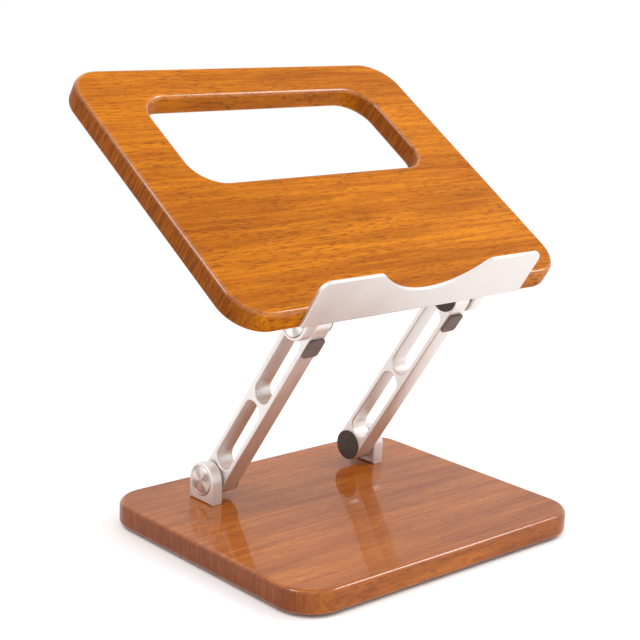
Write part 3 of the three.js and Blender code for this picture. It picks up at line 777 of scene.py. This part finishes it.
# ---- Arms ------------------------------------------------------------------------------------
# Two flat aluminium arms with round ends, each milled through with two long slots that leave a
# thin web between them. A well in the inner face at each end holds the hinge's nut and spring.
ARM_HALF_WIDTH = 10.6 * MM
ARM_WALL = 3.5 * MM
ARM_WEB = 3.4 * MM
ARM_END_LAND = 12 * MM
ARM_EASE = 0.8 * MM
ARM_END_STEPS = 40
NUT_WELL = 8.2 * MM
NUT_WELL_DEPTH = 8.3 * MM
axis_distance = (upper_axis - lower_axis).length
arm_inner_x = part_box("arm_right")[0].x
arm_outer_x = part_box("arm_right")[1].x


def stadium(low, high, radius, steps, hollow=False):
    """The outline of a slot or an arm between two round ends on the Y axis."""
    points = arc(0, low, radius, math.pi, 2 * math.pi, steps)
    points += arc(0, high, radius, 0, math.pi, steps)
    if hollow:
        points = [(x, y, -nx, -ny) for x, y, nx, ny in reversed(points)]
    return points


slot_radius = ARM_HALF_WIDTH - ARM_WALL
slot_first = ARM_END_LAND + slot_radius
slot_last = axis_distance / 2 - ARM_WEB / 2 - slot_radius
arm_outlines = [
    stadium(0, axis_distance, ARM_HALF_WIDTH, ARM_END_STEPS),
    stadium(slot_first, slot_last, slot_radius, ARM_END_STEPS, True),
    stadium(axis_distance - slot_last, axis_distance - slot_first, slot_radius, ARM_END_STEPS, True),
]
for side_name, side in sides.items():
    near = side * (arm_inner_x if side > 0 else arm_outer_x)
    arm = eased_plate(
        f"{side_name}_arm", arm_outlines, arm_outer_x - arm_inner_x, ARM_EASE,
        arm_frame @ Matrix.Translation((near, 0, 0)) @ ACROSS_X, satin_aluminium, ease_steps=4,
    )
    well_x = arm_inner_x + NUT_WELL_DEPTH
    bore = [(0, arm_inner_x - MM), (NUT_WELL, arm_inner_x - MM), (NUT_WELL, well_x)]
    bore += [(BOLT_BORE, well_x), (BOLT_BORE, arm_outer_x + MM), (0, arm_outer_x + MM)]
    hinges = [arm_frame @ Matrix.Translation((0, 0, height)) for height in (0, axis_distance)]
    cut_with(arm, [turned("nut_well", bore, hinge @ outward(side)) for hinge in hinges])
    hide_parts(f"arm_{side_name}")
    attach(arm, "arms")


# ---- Hinge bolts, nuts and washers -----------------------------------------------------------
# Each hinge is clamped by a steel bolt with a lock nut and a spring washer in the arm's well. A
# nylon washer between the arm and the ear makes it turn smoothly and stay where it is put.
nylon = matt_skin("washer_nylon", (0.78, 0.75, 0.70), roughness=0.5, speckle=0.04)
refinish([n for n in frame["nodes"] if n.split("_")[1] in ("bolt", "lock", "spring")], steel)
refinish([n for n in frame["nodes"] if "friction_washer" in n], nylon)


# ---- Cover discs -----------------------------------------------------------------------------
# A spun aluminium disc with a bright chamfered rim is pressed over each bolt head. The lathe left
# fine rings in its face; the narrow fans of light they catch are painted highlight and shade in its
# colour.
DISC_RADIUS = 9.6 * MM
DISC_CHAMFER = 0.45 * MM
DISC_STEPS = 96
DISC_RIM = 0.9 * MM
DISC_RIM_SLOPE = 0.1 * MM
DISC_RIM_SINK = 0.02 * MM
DISC_FACE_SINK = 0.12 * MM
RING_PITCH = 0.11 * MM
RING_UNEVENNESS = 5200.0
RING_DEPTH = 0.01 * MM
# Painted highlight and shade fans on the discs: their number, the turn where they start, and how far
# they lighten and darken the colour.
PAINTED_FAN_COUNT = 4
PAINTED_FAN_START = 0.6
PAINTED_FAN_STRENGTH = 0.3
disc_face_x = disc_outer_x - DISC_FACE_SINK
disc_profile = [
    (0, disc_face_x), (DISC_RADIUS - DISC_RIM - DISC_RIM_SLOPE, disc_face_x),
    (DISC_RADIUS - DISC_RIM, disc_outer_x - DISC_RIM_SINK), (DISC_RADIUS - DISC_CHAMFER, disc_outer_x),
    (DISC_RADIUS, disc_outer_x - DISC_CHAMFER), (DISC_RADIUS, disc_inner_x), (0, disc_inner_x),
]

# Lathe rings: fine circles of uneven depth and tone about a middle at 0, with painted highlight and
# shade fans, bright and dull wedges set by the angle round the middle, across the colour.
lathe, lathe_in, lathe_out = new_group(
    "lathe_rings_and_painted_fans", "ShaderNodeTree",
    {"Place": "NodeSocketVector", "Dark Tone And Shade": "NodeSocketColor", "Bright": "NodeSocketColor"},
    {"Color": "NodeSocketColor", "Height": "NodeSocketFloat"},
)
disc_spot = add_node(
    lathe, "ShaderNodeVectorMath", {0: lathe_in.outputs["Place"], 1: (0, 1, 1)}, operation="MULTIPLY",
).outputs[0]
ring_radius = add_node(lathe, "ShaderNodeVectorMath", {0: disc_spot}, operation="LENGTH")
ring_radius = ring_radius.outputs["Value"]
rings = sum_of(lathe, ring_radius, 2 * math.pi / RING_PITCH, "MULTIPLY")
rings = sum_of(lathe, rings, 0, "SINE")
uneven = sum_of(lathe, ring_radius, RING_UNEVENNESS, "MULTIPLY")
uneven = add_node(lathe, "ShaderNodeTexNoise", {"W": uneven, "Scale": 1.0}, noise_dimensions="1D")
uneven = uneven.outputs["Fac"]
parts = add_node(lathe, "ShaderNodeSeparateXYZ", {0: disc_spot})
# Painted highlight and shade: bright and dull wedges set into the colour by the angle round the axis,
# in place of the light the rings catch.
painted_fan = sum_of(lathe, parts.outputs["Z"], parts.outputs["Y"], "ARCTAN2")
painted_fan = sum_of(lathe, sum_of(lathe, painted_fan, PAINTED_FAN_COUNT, "MULTIPLY"), PAINTED_FAN_START)
painted_fan = fitted(lathe, sum_of(lathe, painted_fan, 0, "SINE"), -0.8, 0.8, -PAINTED_FAN_STRENGTH, PAINTED_FAN_STRENGTH)
tone_and_painted_sheen = fitted(lathe, sum_of(lathe, uneven, painted_fan), 0.15, 0.85)
tone_and_painted_sheen = mixed(lathe, tone_and_painted_sheen, lathe_in.outputs["Dark Tone And Shade"], lathe_in.outputs["Bright"])
lathe.links.new(tone_and_painted_sheen, lathe_out.inputs["Color"])
lathe.links.new(sum_of(lathe, rings, uneven, "MULTIPLY"), lathe_out.inputs["Height"])


def spun_metal(name, axis_place):
    """Lathe-turned aluminium with rings about an axis that runs along X through a place, and painted
    highlight and shade fans in its colour.
    """
    material = bpy.data.materials.new(name)
    material.use_nodes = True
    tree = material.node_tree
    shader = tree.nodes["Principled BSDF"]
    spot = add_node(tree, "ShaderNodeTexCoord").outputs["Object"]
    centred = add_node(tree, "ShaderNodeMapping", {"Vector": spot, "Location": -axis_place})
    values = {"Place": centred.outputs[0]}
    # The pale colour carries ring tone and painted highlight, the dull one ring tone and painted shade.
    values.update({"Dark Tone And Shade": (0.46, 0.41, 0.39, 1), "Bright": (0.94, 0.90, 0.87, 1)})
    turned_face = add_node(tree, "ShaderNodeGroup", values, node_tree=lathe)
    tree.links.new(turned_face.outputs["Color"], shader.inputs["Base Color"])
    relief = add_node(
        tree, "ShaderNodeBump",
        {"Height": turned_face.outputs["Height"], "Strength": 0.55, "Distance": RING_DEPTH},
    )
    tree.links.new(relief.outputs[0], shader.inputs["Normal"])
    shader.inputs["Metallic"].default_value = 1.0
    shader.inputs["Roughness"].default_value = 0.28
    shader.inputs["Anisotropic"].default_value = 0.85
    way = add_node(tree, "ShaderNodeTangent", direction_type="UV_MAP", uv_map="rings")
    tree.links.new(way.outputs[0], shader.inputs["Tangent"])
    return material


def map_rings(piece, axis_place):
    """A UV map whose U runs round an axis along X, for the way the lathe's rings lie."""
    layer = piece.data.uv_layers.new(name="rings")
    for face in piece.data.polygons:
        middle = face.center - axis_place
        middle_turn = math.atan2(middle.z, middle.y)
        for loop in face.loop_indices:
            spot = piece.data.vertices[piece.data.loops[loop].vertex_index].co - axis_place
            reach = math.hypot(spot.y, spot.z)
            turn = math.atan2(spot.z, spot.y) if reach > 1e-6 else middle_turn
            turn += 2 * math.pi * round((middle_turn - turn) / (2 * math.pi))
            layer.data[loop].uv = (turn / (2 * math.pi), reach / DISC_RADIUS)


for level, axis_place, place, body in (
    ("lower", lower_axis, base_hinge, "base"), ("upper", upper_axis, tray_frame, "tray"),
):
    spun = spun_metal(f"spun_aluminium_{level}", axis_place)
    for side_name, side in sides.items():
        facing_out = place @ outward(side)
        disc = turned(f"{level}_{side_name}_disc", disc_profile, facing_out, spun, DISC_STEPS)
        map_rings(disc, axis_place)
        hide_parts(f"{level}_disc_{side_name}")
        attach(disc, body)


# ---- Well caps -------------------------------------------------------------------------------
# Dark rubber caps push into the nut wells on the inner faces of the arms. A thin round rim covers
# the edge of the well.
cap_rubber = matt_skin("cap_rubber", (0.067, 0.048, 0.038), roughness=0.7, speckle=0.1)
CAP_RADIUS = 10.2 * MM
CAP_PLUG_RADIUS = 7.9 * MM
CAP_RIM = 0.9 * MM
CAP_EDGE = 0.35 * MM
CAP_EDGE_STEPS = 5
CAP_STEPS = 96
CAP_GAP = 0.1 * MM
CAP_PLUG_DEPTH = 1.6 * MM
cap_face = arm_inner_x - CAP_GAP - CAP_RIM
cap_profile = [(0, cap_face)]
cap_flat = CAP_RADIUS - CAP_EDGE
for step in range(CAP_EDGE_STEPS + 1):
    turn = math.pi / 2 * step / CAP_EDGE_STEPS
    rounding = CAP_EDGE * math.sin(turn), CAP_EDGE * (1 - math.cos(turn))
    cap_profile.append((cap_flat + rounding[0], cap_face + rounding[1]))
cap_profile += [(CAP_RADIUS, arm_inner_x - CAP_GAP), (CAP_PLUG_RADIUS, arm_inner_x - CAP_GAP)]
cap_profile += [(CAP_PLUG_RADIUS, arm_inner_x + CAP_PLUG_DEPTH), (0, arm_inner_x + CAP_PLUG_DEPTH)]
for level, height in (("lower", 0), ("upper", axis_distance)):
    for side_name, side in sides.items():
        place = arm_frame @ Matrix.Translation((0, 0, height)) @ outward(side)
        cap = turned(f"{level}_{side_name}_cap", cap_profile, place, cap_rubber, CAP_STEPS)
        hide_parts(f"{level}_cap_{side_name}")
        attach(cap, "arms")


# ---- Arm pads --------------------------------------------------------------------------------
# A brown rubber pad is stuck on the front face of each arm near the tray. When the stand is
# folded flat the pads lie over the base and keep the metal off the lacquer.
pad_rubber = matt_skin("pad_rubber", (0.15, 0.105, 0.088), roughness=0.65, speckle=0.1)
PAD_LENGTH = 14.5 * MM
PAD_WIDTH = 12.4 * MM
PAD_THICKNESS = 1.85 * MM
PAD_CORNER = 2.4 * MM
PAD_EDGE = 0.55 * MM
PAD_FROM_AXIS = 14.4 * MM
PAD_GAP = 0.1 * MM
PAD_STEPS = 12
pad_outline = rounded_rectangle(PAD_WIDTH, PAD_LENGTH, PAD_CORNER, PAD_STEPS)
for side_name, side in sides.items():
    middle_x = side * (arm_inner_x + arm_outer_x) / 2
    spot = Matrix.Translation((middle_x, -ARM_HALF_WIDTH - PAD_GAP, axis_distance - PAD_FROM_AXIS))
    facing_front = Matrix.Rotation(math.pi / 2, 4, "X")
    pad = eased_plate(
        f"{side_name}_pad", [pad_outline], PAD_THICKNESS, PAD_EDGE,
        arm_frame @ spot @ facing_front, pad_rubber,
    )
    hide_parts(f"arm_pad_{side_name}")
    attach(pad, "arms")


# ---- Tray board ------------------------------------------------------------------------------
# The board that carries the laptop: the same wood as the base under a satin lacquer, with a wide
# round-cornered cut-out for air and cables. A pocket under its front edge takes the lip's flange.
def shifted(outline, x, y):
    """An outline moved in its own plane."""
    return [(px + x, py + y, nx, ny) for px, py, nx, ny in outline]


def prism(name, profile, width, place):
    """A straight bar along Z with a flat (x, y) profile, half its width either side of 0."""
    bm = bmesh.new()
    near = [bm.verts.new((x, y, -width / 2)) for x, y in profile]
    far = [bm.verts.new((x, y, width / 2)) for x, y in profile]
    count = len(profile)
    for i in range(count):
        j = (i + 1) % count
        bm.faces.new((near[i], near[j], far[j], far[i]))
    bmesh.ops.triangulate(bm, faces=[bm.faces.new(near), bm.faces.new(far)])
    return finish_mesh(name, bm, place, None)


tray_wood = lacquered_wood(
    "tray_wood", light=(0.64, 0.208, 0.006), dark=(0.32, 0.082, 0.003), pore=(0.11, 0.024, 0.002),
    figure=1.0, pore_amount=0.6, tilt=TRAY_TILT, shift=(0.0, 0.0, 0.0), coat=0.03,
    coat_roughness=0.15,
)
TRAY_DEPTH = 220 * MM
TRAY_THICKNESS = 15 * MM
CUTOUT_WIDTH = 190 * MM
CUTOUT_DEPTH = 80.5 * MM
CUTOUT_REAR_MARGIN = 29.5 * MM
CUTOUT_CORNER = 20 * MM
UPPER_AXIS_FROM_FRONT = 17.9 * MM
tray_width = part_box("tray_board")[1].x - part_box("tray_board")[0].x
tray_front = -UPPER_AXIS_FROM_FRONT
tray_under = EAR_AXIS_HEIGHT + SEAT_GAP
tray_top = tray_under + TRAY_THICKNESS
cutout_shift = TRAY_DEPTH / 2 - CUTOUT_REAR_MARGIN - CUTOUT_DEPTH / 2
cutout = rounded_rectangle(CUTOUT_WIDTH, CUTOUT_DEPTH, CUTOUT_CORNER, CORNER_STEPS, True)
tray_outline = rounded_rectangle(tray_width, TRAY_DEPTH, BOARD_CORNER, CORNER_STEPS)
tray_board = eased_plate(
    "tray_plank", [tray_outline, shifted(cutout, 0, cutout_shift)], TRAY_THICKNESS, BOARD_ROUNDOVER,
    tray_frame @ Matrix.Translation((0, tray_front + TRAY_DEPTH / 2, tray_under)), tray_wood,
    ease_steps=ROUNDOVER_STEPS,
)

LIP_SHEET = 2.5 * MM
FLANGE_WIDTH = 92 * MM
FLANGE_DEPTH = 32 * MM
FLANGE_SINK = 1 * MM
BEND_INNER = 1.5 * MM
POCKET_GAP = 0.3 * MM
POCKET_REACH = 5 * MM
lip_face_y = tray_front - SEAT_GAP - LIP_SHEET
flange_bottom = tray_under + FLANGE_SINK
flange_top = flange_bottom + LIP_SHEET
flange_end = lip_face_y + FLANGE_DEPTH
bend_outer = BEND_INNER + LIP_SHEET
bend_y = lip_face_y + bend_outer
bend_z = flange_bottom + bend_outer
pocket_top = flange_top + POCKET_GAP
pocket_end = flange_end + POCKET_GAP
pocket_bend = arc(bend_y, bend_z, BEND_INNER - POCKET_GAP, -math.pi / 2, -math.pi, 8)
pocket = [(lip_face_y - POCKET_REACH, tray_under - POCKET_REACH)]
pocket += [(pocket_end, tray_under - POCKET_REACH), (pocket_end, pocket_top)]
pocket += [point[:2] for point in pocket_bend]
pocket += [(lip_face_y - POCKET_REACH, bend_z)]
LIP_SCREW_SPACING = 30 * MM
LIP_SCREW_LENGTH = 9 * MM
LIP_SCREW_SETBACK = 18 * MM
lip_screw_y = lip_face_y + LIP_SCREW_SETBACK
lip_screw_spots = [(n * LIP_SCREW_SPACING, lip_screw_y, flange_bottom) for n in (-1, 0, 1)]
pocket_cutter = prism("flange_pocket", pocket, FLANGE_WIDTH + 2 * POCKET_GAP, tray_frame @ ACROSS_X)
tray_cutters = [pocket_cutter]
for x, y, z in lip_screw_spots:
    pilot = [(0, 0), (SCREW_BORE, 0), (SCREW_BORE, LIP_SCREW_LENGTH), (0, LIP_SCREW_LENGTH)]
    pilot_place = tray_frame @ Matrix.Translation((x, y, z))
    tray_cutters.append(turned("pilot", pilot, pilot_place, steps=HOLE_STEPS))
STUD_DEPTH = 9.3 * MM
for side in sides.values():
    for end in (-1, 1):
        stud_hole = [(0, -MM), (SCREW_BORE, -MM), (SCREW_BORE, STUD_DEPTH), (0, STUD_DEPTH)]
        spot = (side * (ear_inner_x + ear_outer_x) / 2, end * EAR_SCREW_SPACING / 2, tray_under)
        stud_place = tray_frame @ Matrix.Translation(spot)
        tray_cutters.append(turned("stud_hole", stud_hole, stud_place, steps=HOLE_STEPS))
cut_with(tray_board, tray_cutters)
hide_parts("tray_board")
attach(tray_board, "tray")


# ---- Lip plate -------------------------------------------------------------------------------
# A bent aluminium plate stands up in front of the tray and stops the laptop sliding off. Its
# hollow middle leaves room for the thumbs, and its flange is screwed into the tray's underside.
lip_aluminium = satin_metal(
    "lip_aluminium", (0.71, 0.665, 0.64), roughness=0.45, metallic=0.9, tooth_depth=0.08 * MM,
)
LIP_WIDTH = 185 * MM
LIP_RISE = 22.6 * MM
LIP_DROP = 11.6 * MM
LIP_CORNER = 7 * MM
LIP_FOOT_CORNER = 1 * MM
SCALLOP_DEPTH = 17.6 * MM
SCALLOP_RADIUS = 67 * MM
SHOULDER_RADIUS = 8 * MM
LIP_EASE = 0.5 * MM
hollow_y = LIP_RISE - SCALLOP_DEPTH + SCALLOP_RADIUS
shoulder_y = LIP_RISE - SHOULDER_RADIUS
shoulder_x = math.sqrt((SCALLOP_RADIUS + SHOULDER_RADIUS) ** 2 - (hollow_y - shoulder_y) ** 2)
meet = math.atan2(hollow_y - shoulder_y, shoulder_x)
foot_x, foot_y = LIP_WIDTH / 2 - LIP_FOOT_CORNER, -LIP_DROP + LIP_FOOT_CORNER
corner_x, corner_y = LIP_WIDTH / 2 - LIP_CORNER, LIP_RISE - LIP_CORNER
quarter = math.pi / 2
lip_outline = arc(foot_x, foot_y, LIP_FOOT_CORNER, -quarter, 0, 6)
lip_outline += arc(corner_x, corner_y, LIP_CORNER, 0, quarter, 16)
lip_outline += arc(shoulder_x, shoulder_y, SHOULDER_RADIUS, quarter, math.pi - meet, 14)
lip_outline += arc(0, hollow_y, SCALLOP_RADIUS, -meet, -math.pi + meet, 56, True)[1:-1]
lip_outline += arc(-shoulder_x, shoulder_y, SHOULDER_RADIUS, meet, quarter, 14)
lip_outline += arc(-corner_x, corner_y, LIP_CORNER, quarter, math.pi, 16)
lip_outline += arc(-foot_x, foot_y, LIP_FOOT_CORNER, math.pi, 1.5 * math.pi, 6)
lip_back = Matrix.Translation((0, tray_front - SEAT_GAP, tray_top))
lip = eased_plate(
    "front_lip", [lip_outline], LIP_SHEET, LIP_EASE,
    tray_frame @ lip_back @ Matrix.Rotation(quarter, 4, "X"), lip_aluminium, ease_steps=4,
)

BEND_OVERLAP = 3 * MM
flange_outline = [(lip_face_y, bend_z + BEND_OVERLAP)]
flange_outline += [point[:2] for point in arc(bend_y, bend_z, bend_outer, math.pi, 1.5 * math.pi, 16)]
flange_outline += [(flange_end, flange_bottom), (flange_end, flange_top)]
flange_outline += [point[:2] for point in arc(bend_y, bend_z, BEND_INNER, -quarter, -math.pi, 12)]
flange_outline += [(lip_face_y + LIP_SHEET, bend_z + BEND_OVERLAP)]
flange = prism("lip_flange", flange_outline, FLANGE_WIDTH, tray_frame @ ACROSS_X)
cut_with(lip, [flange], "UNION")
cut_with(lip, [
    screw_hole(tray_frame @ Matrix.Translation(spot), LIP_SHEET + MM) for spot in lip_screw_spots
])
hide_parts("lip_plate")
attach(lip, "tray")

lip_screws = grown_from_places(
    "lip_screws", [tray_frame @ Vector(spot) for spot in lip_screw_spots], screw_tree,
    {**screw_size, "Length": LIP_SCREW_LENGTH, "Tilt": (TRAY_TILT, 0.0, 0.0)},
)
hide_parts("lip_screw_left", "lip_screw_middle", "lip_screw_right")
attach(lip_screws, "tray")
